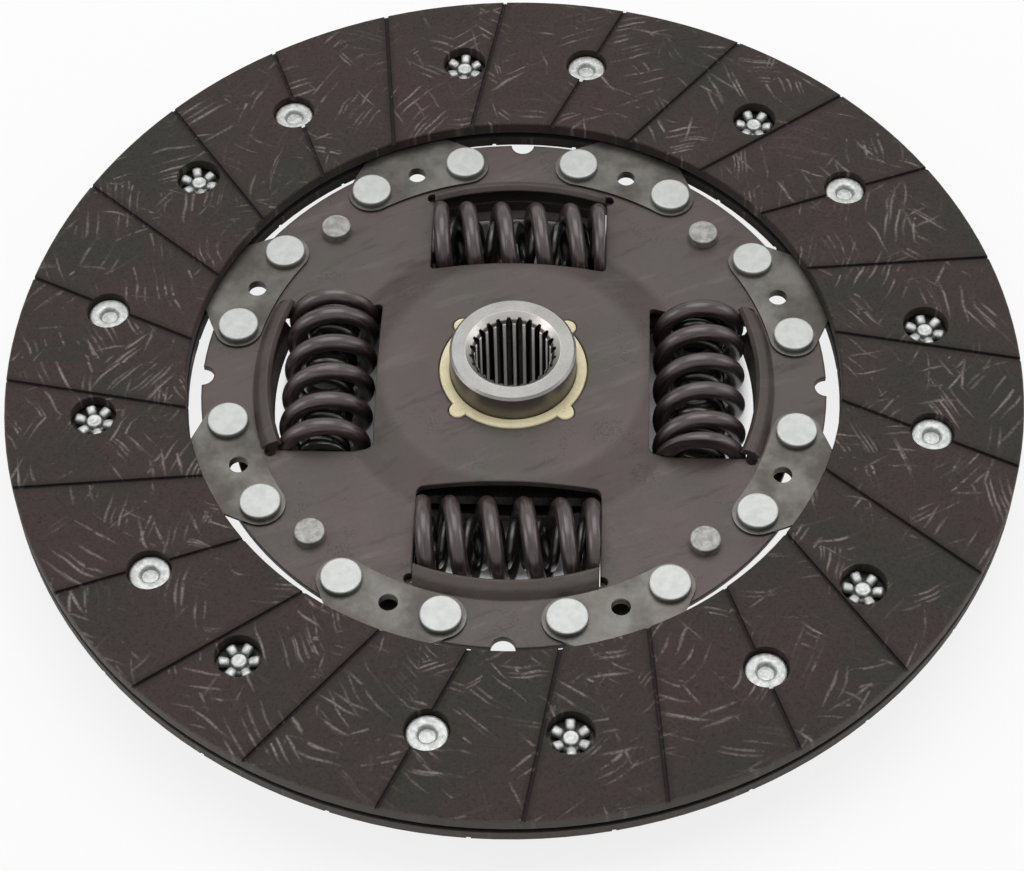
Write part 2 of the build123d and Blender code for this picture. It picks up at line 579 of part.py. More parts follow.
REAR_COLLAR = 2.2
WASHER_THICKNESS = 1.0
BUSH_PROUD = 0.3                # how far the sleeve stands above the dome
SPRING_WASHER_MARGIN = 0.5      # outside the friction ring's collar
SPRING_WASHER_GAP = 1.6         # radial, round the friction ring's sleeve
SPRING_WASHER_OUTER = COLLAR_RADIUS + SPRING_WASHER_MARGIN
SPRING_WASHER_INNER = SLEEVE_RADIUS + SPRING_WASHER_GAP
SPRING_WASHER_THICKNESS = 0.9
WASHER_EDGE = 0.15


def mirror_height(height):
    """The height that mirrors this one through the flange's middle."""
    return 2 * FLANGE_MID - height


def lugs(low, high):
    """Four round lugs that key a friction ring to its plate."""
    return [polar(LUG_CIRCLE, a) * disc(LUG_RADIUS, low, high) for a in PIN_ANGLES]


def front_friction_bush():
    """Fills the front dome, and centres both plates on the hub."""
    top = DOME_TOP + BUSH_PROUD
    bush = disc(COLLAR_RADIUS, DRIVE_BOTTOM, DOME_ROOF) + disc(SLEEVE_RADIUS, DRIVE_BOTTOM, top)
    bush += lugs(DRIVE_TOP, top)
    return bush - disc(RING_BORE, DRIVE_BOTTOM - OVERCUT, top + OVERCUT)


def rear_friction_ring():
    """Thinner ring behind the flange, pressed on it by the spring washer."""
    tip = mirror_height(DOME_TOP + BUSH_PROUD)
    bush = disc(COLLAR_RADIUS, RETAINER_TOP - REAR_COLLAR, RETAINER_TOP)
    bush += disc(SLEEVE_RADIUS, tip, RETAINER_TOP)
    bush += lugs(tip, mirror_height(DOME_ROOF) - AXIAL_GAP)
    return bush - disc(RING_BORE, tip - OVERCUT, RETAINER_TOP + OVERCUT)


def thrust_washer():
    """Flat steel washer between the rear friction ring and the spring washer."""
    top = RETAINER_TOP - REAR_COLLAR
    return ring(SPRING_WASHER_OUTER, SLEEVE_RADIUS + BUSH_GAP, top - WASHER_THICKNESS, top)


def spring_washer():
    """Conical spring washer pressing on the inside of the rear dome."""
    top = RETAINER_TOP - REAR_COLLAR - WASHER_THICKNESS
    seat = mirror_height(DOME_ROOF)
    points = [
        (SPRING_WASHER_OUTER, top), (SPRING_WASHER_INNER, seat + SPRING_WASHER_THICKNESS),
        (SPRING_WASHER_INNER, seat), (SPRING_WASHER_OUTER, top - SPRING_WASHER_THICKNESS),
    ]
    return spun(points, WASHER_EDGE)


# ---- write every piece --------------------------------------------------------------

def pieces():
    """Every node by name."""
    front = lining()
    front_rivets = front_lining_rivets()
    turned_over = Rot(180, 0, 0)
    made = {
        "splined_hub": splined_hub(),
        "front_drive_plate": front_drive_plate(),
        "rear_retainer_plate": rear_retainer_plate(),
        "front_lining": front,
        "rear_lining": turned_over * front,
        "segment_rivets": group(segment_rivets()),
        "front_lining_rivets": group(front_rivets),
        "rear_lining_rivets": group([turned_over * rivet for rivet in front_rivets]),
        "stop_pins": group([polar(STOP_PIN_RADIUS, a) * stop_pin() for a in PIN_ANGLES]),
        "front_friction_bush": front_friction_bush(),
        "rear_friction_ring": rear_friction_ring(),
        "thrust_washer": thrust_washer(),
        "spring_washer": spring_washer(),
    }
    for i, middle in enumerate(SEGMENT_ANGLES):
        made[f"cushion_segment_{i + 1}"] = cushion_segment(middle)
    for i in range(WINDOW_COUNT):
        made[f"outer_spring_{i + 1}"] = outer_spring(i)
        made[f"inner_spring_{i + 1}"] = inner_spring(i)
    return made


os.makedirs("parts", exist_ok=True)
for name, shape in pieces().items():
    export_step(shape, f"parts/{name}.step")
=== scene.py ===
import math

import bpy
import numpy as np
from mathutils import Matrix, Vector


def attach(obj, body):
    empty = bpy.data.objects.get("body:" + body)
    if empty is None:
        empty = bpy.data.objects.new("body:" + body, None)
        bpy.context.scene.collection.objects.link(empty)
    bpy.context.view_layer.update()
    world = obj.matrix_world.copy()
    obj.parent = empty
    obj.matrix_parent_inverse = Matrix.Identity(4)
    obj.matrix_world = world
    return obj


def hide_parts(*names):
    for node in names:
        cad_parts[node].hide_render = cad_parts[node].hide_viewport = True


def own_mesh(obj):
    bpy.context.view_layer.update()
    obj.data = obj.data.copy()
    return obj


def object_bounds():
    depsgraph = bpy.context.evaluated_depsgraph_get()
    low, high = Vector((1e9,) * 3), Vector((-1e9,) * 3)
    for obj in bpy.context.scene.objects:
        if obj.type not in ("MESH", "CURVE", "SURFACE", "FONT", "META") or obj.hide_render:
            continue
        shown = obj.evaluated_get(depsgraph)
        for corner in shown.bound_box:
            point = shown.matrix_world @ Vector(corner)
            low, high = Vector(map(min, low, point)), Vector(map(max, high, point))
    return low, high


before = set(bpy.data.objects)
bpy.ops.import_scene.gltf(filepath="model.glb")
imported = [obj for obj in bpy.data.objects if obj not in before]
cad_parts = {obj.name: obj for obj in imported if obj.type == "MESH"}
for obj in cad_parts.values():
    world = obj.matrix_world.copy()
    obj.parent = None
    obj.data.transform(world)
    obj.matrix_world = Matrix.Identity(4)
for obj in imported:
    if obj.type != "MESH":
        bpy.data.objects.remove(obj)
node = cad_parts
cad_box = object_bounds()
MM = 0.001


# ---- friction linings -----------------------------------------------------------------
# Two rings of yarn wound in resin, pressed hard and ground flat, with skewed grooves.
# They are riveted back to back on the cushion segments.  The yarn shows as short pale
# strokes that cross each other in patches on a brown and green-grey ground.

GROOVES = 24
GROOVE_TANGENT = 25.0           # mm, radius of the circle that the grooves' lines touch
GROOVE_START = 2.8              # degrees, where one groove meets the rim
GROOVE_TOP, GROOVE_FLOOR = 3.95, 3.5    # mm, heights between which a groove is painted darker as shade
LINING_BACK = 1.0               # mm, the faces on the segments lie below this height and are painted black as shade between the linings
RIM = 120.0
MEAN_RADIUS = 98.75             # mm, where the unrolled ring keeps its arc length
SECTOR_SHIFT = 371.3            # mm between the patterns of neighbouring sectors
SIDE_SHIFT = 40.0               # sectors between the patterns of the two linings
YARN_LAYERS = (                 # turn, width, length, share of cells, and the clouds it fades in between
    (0.66, 1.30, 20.0, 0.46, 0.46, 0.60),
    (-0.56, 1.25, 21.0, 0.46, 0.54, 0.40),
    (0.08, 1.40, 18.0, 0.20, 0.20, 0.60),
    (1.35, 1.25, 14.0, 0.12, 0.80, 0.40),
)
YARN_REACH = 0.40               # part of a cell, from its own point to where the stroke has faded
YARN_WANDER = 3.6               # mm, by how much the strokes are pushed out of line
LINING_BROWN = (0.045, 0.028, 0.027, 1)
LINING_GREEN = (0.030, 0.028, 0.022, 1)
LINING_BLACK = (0.010, 0.008, 0.008, 1)
YARN_PALE = (0.230, 0.195, 0.180, 1)
RIM_HIGHLIGHT = (0.100, 0.090, 0.082, 1)


def feed(tree, socket, value):
    """Links an output to the socket, or sets a plain value on it."""
    if isinstance(value, bpy.types.NodeSocket):
        tree.links.new(value, socket)
    else:
        socket.default_value = value


def add(tree, kind, inputs=None, **settings):
    """One shader node: settings are its own properties, inputs are values or outputs to link."""
    made = tree.nodes.new(kind)
    for name, value in settings.items():
        setattr(made, name, value)
    for name, value in (inputs or {}).items():
        feed(tree, made.inputs[name], value)
    return made


def math_node(tree, operation, *values):
    """One Math node's output."""
    return add(tree, "ShaderNodeMath", dict(enumerate(values)), operation=operation).outputs[0]


def multiply(tree, first, second):
    """The product of two values or outputs."""
    return math_node(tree, "MULTIPLY", first, second)


def blend_colours(tree, share, first, second, most=1.0):
    """first where share is 0, and most of the way to second where it is 1."""
    if most < 1:
        share = multiply(tree, share, most)
    mix = add(tree, "ShaderNodeMix", {0: share, 6: first, 7: second}, data_type="RGBA")
    return mix.outputs[2]


def ramp_value(tree, value, low, high, start=0.0, end=1.0):
    """A smooth step of value from start at low to end at high."""
    step = add(tree, "ShaderNodeMapRange", {0: value, 1: low, 2: high, 3: start, 4: end},
               interpolation_type="SMOOTHSTEP")
    return step.outputs[0]


def noise(tree, vector, scale, detail, roughness=0.5):
    """Soft noise about 0.5; scale is in bumps per unit of the vector."""
    return add(tree, "ShaderNodeTexNoise", {"Vector": vector, "Scale": scale, "Detail": detail,
                                            "Roughness": roughness}).outputs[0]


def uneven(tree, grain, least, most):
    """A value from least to most that follows a noise."""
    return ramp_value(tree, grain, 0.3, 0.7, least, most)


def new_group(name, inputs, outputs):
    """An empty shader node group with named sockets: (tree, its inputs by name, its output node)."""
    tree = bpy.data.node_groups.new(name, "ShaderNodeTree")
    for in_out, sockets in (("INPUT", inputs), ("OUTPUT", outputs)):
        for label, kind in sockets.items():
            tree.interface.new_socket(label, in_out=in_out, socket_type=f"NodeSocket{kind}")
    return tree, tree.nodes.new("NodeGroupInput").outputs, tree.nodes.new("NodeGroupOutput")


def use_group(tree, group, **values):
    """The group's outputs in this tree; an underscore in a name stands for a space."""
    made = tree.nodes.new("ShaderNodeGroup")
    made.node_tree = group
    for name, value in values.items():
        feed(tree, made.inputs[name.replace("_", " ")], value)
    return made.outputs


def new_finish(name, **constants):
    """A material: (itself, its tree, its Principled shader, the object's coordinates in mm).

    Constants are set on the shader's own sockets.
    """
    finish = bpy.data.materials.new(name)
    finish.use_nodes = True
    tree = finish.node_tree
    shader = tree.nodes["Principled BSDF"]
    for label, value in constants.items():
        feed(tree, shader.inputs[label.replace("_", " ")], value)
    metres = add(tree, "ShaderNodeTexCoord").outputs["Object"]
    in_mm = add(tree, "ShaderNodeVectorMath", {0: metres, 3: 1 / MM}, operation="SCALE").outputs[0]
    return finish, tree, shader, in_mm


def give(finish, *names):
    """Puts the finish on these nodes of the CAD model."""
    for name in names:
        mesh = node[name].data
        mesh.materials.clear()
        mesh.materials.append(finish)


def connect(tree, shader, height, strength, depth, soften=0.0, **sockets):
    """Links sockets of the shader, and a bump map of this height, on edges rounded by soften."""
    for label, value in sockets.items():
        feed(tree, shader.inputs[label.replace("_", " ")], value)
    bump = add(tree, "ShaderNodeBump", {"Strength": strength, "Distance": depth, "Height": height})
    if soften:
        rounded = add(tree, "ShaderNodeBevel", {"Radius": soften}, samples=6)
        feed(tree, bump.inputs["Normal"], rounded.outputs[0])
    feed(tree, shader.inputs["Normal"], bump.outputs[0])


def clouds_group():
    """Clouds of about one Size: soft noise stretched to fill 0 to 1, another pattern for each Seed."""
    tree, given, result = new_group("clouds", {"Vector": "Vector", "Size": "Float", "Seed": "Float"},
                                    {"Share": "Float"})
    scale = math_node(tree, "DIVIDE", 1.0, given["Size"])
    wide = add(tree, "ShaderNodeTexNoise", {"Vector": given["Vector"], "W": given["Seed"], "Scale": scale,
                                            "Detail": 5.0, "Roughness": 0.62}, noise_dimensions="4D")
    tree.links.new(ramp_value(tree, wide.outputs[0], 0.36, 0.64), result.inputs[0])
    return tree


def strokes_group():
    """Yarn strokes: one stretched cell each, bright near the cell's own point, in a share of the cells.

    A soft noise pushes the cells out of line first, so the strokes bend.
    """
    tree, given, result = new_group(
        "yarn_strokes",
        {"Vector": "Vector", "Turn": "Vector", "Cell": "Vector", "Share": "Float", "Reach": "Float"},
        {"Mask": "Float"})
    wander = add(tree, "ShaderNodeTexNoise", {"Vector": given["Vector"], "Scale": 0.09, "Detail": 1.0})
    centred = add(tree, "ShaderNodeVectorMath", {0: wander.outputs[1], 1: (0.5, 0.5, 0.5)},
                  operation="SUBTRACT")
    pushed = add(tree, "ShaderNodeVectorMath", {0: centred.outputs[0], 1: (YARN_WANDER, YARN_WANDER, 0.0),
                                                2: given["Vector"]}, operation="MULTIPLY_ADD")
    placed = add(tree, "ShaderNodeMapping", {"Vector": pushed.outputs[0], "Rotation": given["Turn"],
                                             "Scale": given["Cell"]}, vector_type="TEXTURE")
    cells = add(tree, "ShaderNodeTexVoronoi", {"Vector": placed.outputs[0], "Scale": 1.0},
                voronoi_dimensions="2D", feature="F1")
    near = ramp_value(tree, cells.outputs["Distance"], given["Reach"], 0.0)
    chance = add(tree, "ShaderNodeSeparateColor", {0: cells.outputs["Color"]})
    chosen = math_node(tree, "LESS_THAN", chance.outputs[0], given["Share"])
    bright = math_node(tree, "MULTIPLY_ADD", chance.outputs[1], 0.65, 0.35)
    mask = multiply(tree, multiply(tree, near, chosen), bright)
    tree.links.new(mask, result.inputs[0])
    return tree


def groove_sector_group():
    """Unrolls the ring to arc length and radius, and moves each sector between two grooves far off.

    A groove's line touches a circle, so its angle at radius r is arcsin(tangent / r) plus a constant.
    Beside is the distance from the nearer groove, as the angle past it times the radius.
    """
    tree, given, result = new_group(
        "groove_sector", {"Vector": "Vector"},
        {"Place": "Vector", "Radius": "Float", "Height": "Float", "Beside": "Float"})
    part = add(tree, "ShaderNodeSeparateXYZ", {0: given["Vector"]}).outputs
    side = math_node(tree, "SIGN", part[2])
    across = multiply(tree, part[1], side)
    squares = math_node(tree, "ADD", multiply(tree, part[0], part[0]), multiply(tree, across, across))
    radius = math_node(tree, "SQRT", squares)
    angle = math_node(tree, "ARCTAN2", across, part[0])
    skew = math_node(tree, "ARCSINE", math_node(tree, "DIVIDE", GROOVE_TANGENT, radius))
    start = math.radians(GROOVE_START) - math.asin(GROOVE_TANGENT / RIM)
    step = 2 * math.pi / GROOVES
    past = math_node(tree, "SUBTRACT", math_node(tree, "SUBTRACT", angle, skew), start)
    number = math_node(tree, "FLOOR", math_node(tree, "DIVIDE", past, step))
    turned_back = multiply(tree, number, step)
    local = math_node(tree, "SUBTRACT", angle, turned_back)
    sector_number = math_node(tree, "ADD", number, multiply(tree, side, SIDE_SHIFT))
    offset = multiply(tree, sector_number, SECTOR_SHIFT)
    place = add(tree, "ShaderNodeCombineXYZ", {
        0: math_node(tree, "MULTIPLY_ADD", local, MEAN_RADIUS, offset),
        1: math_node(tree, "ADD", radius, offset),
        2: offset})
    tree.links.new(place.outputs[0], result.inputs[0])
    tree.links.new(radius, result.inputs[1])
    tree.links.new(math_node(tree, "ABSOLUTE", part[2]), result.inputs[2])
    left = math_node(tree, "SUBTRACT", past, turned_back)
    near = math_node(tree, "MINIMUM", left, math_node(tree, "SUBTRACT", step, left))
    tree.links.new(multiply(tree, near, radius), result.inputs[3])
    return tree


clouds = clouds_group()
strokes = strokes_group()
groove_sector = groove_sector_group()

lining_finish, tree, shader, place = new_finish("wound_yarn_and_resin", Specular_IOR_Level=0.25)
sector = use_group(tree, groove_sector, Vector=place)
field = use_group(tree, clouds, Vector=sector["Place"], Size=17.0, Seed=3.0)[0]
sparse = use_group(tree, clouds, Vector=sector["Place"], Size=11.0, Seed=9.0)[0]
pale = 0.0
for turn, wide, long, share, low, high in YARN_LAYERS:
    layer = use_group(tree, strokes, Vector=sector["Place"], Turn=(0, 0, turn), Cell=(long, wide, 1.0),
                      Share=share, Reach=YARN_REACH)[0]
    pale = math_node(tree, "MAXIMUM", pale, multiply(tree, layer, ramp_value(tree, field, low, high)))
pale = multiply(tree, pale, ramp_value(tree, sparse, 0.25, 0.65, 0.12, 1.0))
grain = noise(tree, place, 1.6, 4.0, 0.7)
smooth = use_group(tree, clouds, Vector=sector["Place"], Size=34.0, Seed=5.0)[0]
ground = blend_colours(tree, smooth, LINING_BROWN, LINING_GREEN)
ground = blend_colours(tree, ramp_value(tree, grain, 0.56, 0.30, 0.0, 0.7), ground, LINING_BLACK)
broken = multiply(tree, pale, ramp_value(tree, grain, 0.36, 0.58, 0.40, 1.0))
colour = blend_colours(tree, broken, ground, YARN_PALE)
# Painted shade: the lining darkens within 2.4 mm of a groove's line, in and beside the groove.
colour = blend_colours(tree, ramp_value(tree, sector["Beside"], 2.4, 0.5), colour, LINING_BLACK, 0.55)
# Painted shade: the groove's floor is darkened towards black.
groove_shade = ramp_value(tree, sector["Height"], GROOVE_TOP, GROOVE_FLOOR, 0.0, 0.15)
# Painted shade: the faces below the back height, between the linings, are painted black.
shaded_back = math_node(tree, "LESS_THAN", sector["Height"], LINING_BACK)
colour = blend_colours(tree, math_node(tree, "MAXIMUM", groove_shade, shaded_back), colour, LINING_BLACK)
rough_radius = math_node(tree, "MULTIPLY_ADD", grain, 0.5, sector["Radius"])
# Painted highlight: a lighter band along the lining's rim.
colour = blend_colours(tree, ramp_value(tree, rough_radius, RIM - 0.3, RIM + 0.25), colour, RIM_HIGHLIGHT, 0.75)
rough = math_node(tree, "MULTIPLY_ADD", pale, -0.2, 0.78)
height = math_node(tree, "MULTIPLY_ADD", pale, 0.8, grain)
connect(tree, shader, height, 0.5, 0.12 * MM, 0.35 * MM, Base_Color=colour, Roughness=rough)
give(lining_finish, "front_lining", "rear_lining")


# ---- cushion segments -----------------------------------------------------------------
# Eight thin waved spring-steel plates between the linings, bare and lightly oiled, with
# two round lobes each on the drive plate.  They are a little tarnished and stained.

SEGMENT_DARK = (0.050, 0.047, 0.042, 1)
SEGMENT_LIGHT = (0.120, 0.116, 0.106, 1)
SEGMENT_BROWN = (0.060, 0.050, 0.043, 1)

segment_finish, tree, shader, place = new_finish("bare_spring_steel", Metallic=0.85)
tarnish = use_group(tree, clouds, Vector=place, Size=14.0, Seed=1.5)[0]
stain = use_group(tree, clouds, Vector=place, Size=6.0, Seed=5.5)[0]
fine = noise(tree, place, 3.0, 5.0, 0.65)
colour = blend_colours(tree, tarnish, SEGMENT_DARK, SEGMENT_LIGHT)
colour = blend_colours(tree, stain, colour, SEGMENT_BROWN, 0.35)
connect(tree, shader, fine, 0.12, 0.05 * MM, Base_Color=colour, Roughness=uneven(tree, fine, 0.34, 0.5))
give(segment_finish, *[f"cushion_segment_{i}" for i in range(1, 9)])


# ---- lining rivets --------------------------------------------------------------------
# Sixteen plated tubular rivets.  Half show their punched heads in the front lining's
# counterbores, the other half their tails, split and rolled outwards into six petals.

RIVETS = 8                      # on each side
RIVET_CIRCLE = 99.2             # mm
RIVET_ANGLE = 13.43             # degrees each side of a segment's middle
RIVET_SEAT = 1.6                # mm, height of the counterbore's floor
TAIL_SEAT = 0.2                 # mm, height of the segment's back, where the tail is rolled over
HEAD_PROFILE = [                # mm, radius and height from the seat, from the recess's middle outwards
    (0.0, -0.56), (0.9, -0.58), (1.5, -0.62), (1.8, -0.64), (1.95, -0.5), (2.0, 0.0),
    (2.16, 0.45), (2.42, 0.72), (2.75, 0.82), (3.6, 0.84), (4.35, 0.81), (4.66, 0.66),
    (4.80, 0.42), (4.76, 0.12), (4.55, 0.0), (2.5, 0.0), (2.5, -1.2), (0.0, -1.2),
]
CORE_PROFILE = [                # mm, the tube's end inside the petals
    (0.0, 2.45), (0.7, 2.40), (1.3, 2.55), (1.68, 2.45), (1.86, 2.10), (1.90, 1.10), (2.4, 0.90),
    (2.75, 0.3), (2.75, -0.2), (0.0, -0.2),
]
PETAL_LENGTHS = (2.85, 2.60, 2.78, 2.90, 2.66, 2.80)
PETAL_LIFTS = (0.05, -0.08, 0.10, 0.0, -0.12, 0.08)
PETAL_START = 1.98              # mm, radius at which the petals leave the tube
PETAL_HALF_WIDTH, PETAL_SPREAD = 0.98, 0.36     # mm at the tube, and what it gains to the tip
PETAL_HALF_HEIGHT = 1.05
PETAL_RISE, PETAL_ARCH = 1.15, 0.62     # mm, height of the middle line and of its arch
PETAL_TURNS = (0.55, 0.1, 0.9, 0.35, 0.7, 0.2, 0.0, 0.45)   # radians, one for each rivet
RIVET_BRIGHT = (0.49, 0.50, 0.49, 1)
RIVET_DULL = (0.22, 0.22, 0.215, 1)


def smooth_profile(points, per_side=3):
    """Rounds a profile: each corner becomes the curve (1-t)^2 a + 2t(1-t) b + t^2 c.

    b is the corner, and a and c are the middles of the sides that meet there.
    """
    points = np.array(points, float)
    middle = (points[1:] + points[:-1]) / 2
    t = np.linspace(0, 1, per_side, endpoint=False)[:, None, None]
    a, b, c = middle[:-1], points[1:-1], middle[1:]
    eased = (1 - t) ** 2 * a + 2 * t * (1 - t) * b + t ** 2 * c
    return np.vstack([points[:1], eased.transpose(1, 0, 2).reshape(-1, 2), middle[-1:], points[-1:]])


def turned(profile, columns=40):
    """A profile of radius and height carried once round the Z axis, without its points on the axis."""
    angle = np.arange(columns) * 2 * math.pi / columns
    profile = profile[profile[:, 0] > 0.05]
    r, z = profile[:, :1], profile[:, 1:]
    return np.stack([r * np.cos(angle), r * np.sin(angle), z + 0 * angle], -1)


def petal(direction, length, lift, rows=15, columns=16):
    """A rolled-over petal: a rounded section carried outwards along an arch.

    u runs from the tube to the tip.  Half-width and half-height fade at both ends as the root
    of 1 - (2u - 1)^5, and the middle line rises as the sine of pi (0.1 + u / 2).
    """
    u = np.linspace(0.01, 0.99, rows)[:, None]
    v = np.arange(columns)[None, :] * 2 * math.pi / columns
    fade = np.clip(1 - np.abs(2 * u - 1) ** 5, 0, 1) ** 0.5
    reach = PETAL_START + length * u + 0 * v
    wide = (PETAL_HALF_WIDTH + PETAL_SPREAD * u) * fade
    high = PETAL_HALF_HEIGHT * fade
    arch = PETAL_RISE + lift + PETAL_ARCH * np.sin(math.pi * (0.10 + 0.50 * u))
    cos, sin = np.cos(v), np.sin(v)
    side = wide * np.sign(cos) * np.abs(cos) ** 0.7
    top = arch + high * np.sign(sin) * np.abs(sin) ** 0.8
    c, s = math.cos(direction), math.sin(direction)
    return np.stack([reach * c - side * s, reach * s + side * c, top], -1)


def skin(name, grids, ring=False):
    """One mesh from grids of points in mm, whose columns close on themselves.

    In a ring the last row joins the first; otherwise a fan about its middle closes each end.
    A grid that is inside out, by its signed volume, has its faces turned round.
    """
    points, quads, fans, quad_uv, fan_uv = [], [], [], [], []
    start = 0
    for grid in grids:
        rows, columns = grid.shape[:2]
        body = grid.reshape(-1, 3)
        i, j = np.arange(rows if ring else rows - 1)[:, None], np.arange(columns)
        k, m = (i + 1) % rows, (j + 1) % columns
        sides = np.stack([i * columns + j, k * columns + j, k * columns + m, i * columns + m], -1)
        corners = np.array([(0, 0), (1, 0), (1, 1), (0, 1)])
        side_uv = (np.stack(np.broadcast_arrays(i, j), -1)[:, :, None] + corners) / (rows, columns)
        sides, side_uv = sides.reshape(-1, 4), side_uv.reshape(-1, 4, 2)
        ends, end_uv = np.zeros((0, 3), int), np.zeros((0, 3, 2))
        if not ring:
            first, foot = len(body), (rows - 1) * columns
            body = np.vstack([body, grid[0].mean(0), grid[-1].mean(0)])
            ends = np.vstack([np.stack([j, m, np.full(columns, first)], -1),
                              np.stack([foot + m, foot + j, np.full(columns, first + 1)], -1)])
            end_uv = np.concatenate([np.zeros((columns, 3, 2)), np.ones((columns, 3, 2))])
        triangles = body[np.vstack([sides[:, :3], sides[:, [0, 2, 3]], ends])]
        volume = np.einsum("ij,ij->", triangles[:, 0], np.cross(triangles[:, 1], triangles[:, 2]))
        if volume < 0:
            sides, side_uv, ends, end_uv = (faces[:, ::-1] for faces in (sides, side_uv, ends, end_uv))
        points.append(body * MM)
        quads.append(sides + start)
        fans.append(ends + start)
        quad_uv.append(side_uv.reshape(-1, 2))
        fan_uv.append(end_uv.reshape(-1, 2))
        start += len(body)
    mesh = bpy.data.meshes.new(name)
    mesh.from_pydata(np.vstack(points).tolist(), [], np.vstack(quads).tolist() + np.vstack(fans).tolist())
    layer = mesh.uv_layers.new(name="along_and_round")
    layer.data.foreach_set("uv", np.vstack(quad_uv + fan_uv).astype(np.float32).ravel())
    mesh.polygons.foreach_set("use_smooth", np.ones(len(mesh.polygons), bool))
    mesh.set_sharp_from_angle(angle=math.radians(42))
    made = bpy.data.objects.new(name, mesh)
    bpy.context.scene.collection.objects.link(made)
    return made


def fit(made, finish, body, slot, *replaced):
    """Gives a new piece its finish and its body, and hides the nodes that it stands for; slot is not used."""
    made.data.materials.append(finish)
    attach(made, body)
    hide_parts(*replaced)


def tubular_rivet(petal_turn):
    """Head, core and six petals of one rivet about its own axis, head up, as grids."""
    head = turned(smooth_profile(HEAD_PROFILE)) + np.array([0, 0, RIVET_SEAT])
    tail = [turned(smooth_profile(CORE_PROFILE))]
    for k, (length, lift) in enumerate(zip(PETAL_LENGTHS, PETAL_LIFTS)):
        tail.append(petal(petal_turn + k * math.pi / 3, length, lift))
    flip = np.array([1, 1, -1])
    return [head] + [grid * flip + np.array([0, 0, TAIL_SEAT]) for grid in tail]


def set_of_rivets(turned_over):
    """Rivets evenly round the disc; the rear ones are the front ones turned over about X."""
    grids = []
    for k in range(RIVETS):
        angle = 2 * math.pi * (k + 0.5) / RIVETS + math.radians(RIVET_ANGLE)
        centre = np.array([RIVET_CIRCLE * math.cos(angle), RIVET_CIRCLE * math.sin(angle), 0])
        grids += [grid + centre for grid in tubular_rivet(angle + PETAL_TURNS[k])]
    flip = np.array([1, -1, -1]) if turned_over else np.ones(3)
    return [grid * flip for grid in grids]


rivet_finish, tree, shader, place = new_finish("plated_rivet_steel", Metallic=0.75)
dull = use_group(tree, clouds, Vector=place, Size=1.1, Seed=2.0)[0]
fine = noise(tree, place, 6.0, 3.0)
colour = blend_colours(tree, dull, RIVET_BRIGHT, RIVET_DULL, 0.55)
connect(tree, shader, fine, 0.6, 0.08 * MM, Base_Color=colour, Roughness=uneven(tree, fine, 0.38, 0.60))
for side, over in (("front", False), ("rear", True)):
    rivets = skin(f"tubular_rivets_{side}", set_of_rivets(over))
    fit(rivets, rivet_finish, "disc", "plated_rivet", f"{side}_lining_rivets")


# ---- segment rivets -------------------------------------------------------------------
# Sixteen solid zinc-plated rivets with flat heads hold the segments' lobes to the drive
# plate.  The plating is pale and faintly grainy, and the head's foot is painted darker as shade.

ZINC_PALE = (0.40, 0.405, 0.395, 1)
ZINC_GREY = (0.26, 0.265, 0.26, 1)
ZINC_SHADE = (0.16, 0.165, 0.165, 1)
FOOT_SHADE_TOP, FOOT_SHADE_LOW = 1.45, 0.9       # mm, heights between which the head's foot is painted darker as shade

zinc_finish, tree, shader, place = new_finish("zinc_plate", Metallic=0.55)
cloud = use_group(tree, clouds, Vector=place, Size=2.4, Seed=7.0)[0]
fine = noise(tree, place, 4.2, 4.0, 0.6)
colour = blend_colours(tree, cloud, ZINC_PALE, ZINC_GREY, 0.35)
colour = blend_colours(tree, ramp_value(tree, fine, 0.62, 0.75, 0.0, 0.5), colour, ZINC_GREY)
height_up = add(tree, "ShaderNodeSeparateXYZ", {0: place}).outputs[2]
# Painted shade: the head darkens downwards to its foot, as the shadow line under the head.
colour = blend_colours(tree, ramp_value(tree, height_up, FOOT_SHADE_TOP, FOOT_SHADE_LOW), colour, ZINC_SHADE)
connect(tree, shader, fine, 0.3, 0.05 * MM, Base_Color=colour, Roughness=uneven(tree, fine, 0.36, 0.55))
give(zinc_finish, "segment_rivets")


# ---- stop pins ------------------------------------------------------------------------
# Four shouldered steel pins, riveted over at both ends, space the two damper plates and
# stop the hub flange.  Their heads are grey and left as they came off the header.

PIN_GREY = (0.175, 0.170, 0.162, 1)
PIN_PALE = (0.285, 0.280, 0.270, 1)

pin_finish, tree, shader, place = new_finish("headed_pin_steel", Metallic=0.7)
cloud = use_group(tree, clouds, Vector=place, Size=2.0, Seed=4.0)[0]
fine = noise(tree, place, 4.0, 4.0)
connect(tree, shader, fine, 0.35, 0.05 * MM, Base_Color=blend_colours(tree, cloud, PIN_GREY, PIN_PALE),
        Roughness=uneven(tree, fine, 0.42, 0.6))
give(pin_finish, "stop_pins")


# ---- drive plate and retainer plate ---------------------------------------------------
# Two pressed steel plates, phosphated grey-brown and oiled.  The film is uneven: violet
# and green-grey clouds, faint wipe marks and a few dark smudges round the hub.

PLATE_VIOLET = (0.064, 0.044, 0.043, 1)
PLATE_GREEN = (0.050, 0.046, 0.038, 1)
PLATE_PALE = (0.102, 0.087, 0.080, 1)
PLATE_SMUDGE = (0.026, 0.018, 0.018, 1)
WIPE_SIZE = (26.0, 5.0, 9.0)    # mm, length, width and depth of a wipe mark
WIPE_TURN = 0.45                # radians about Z

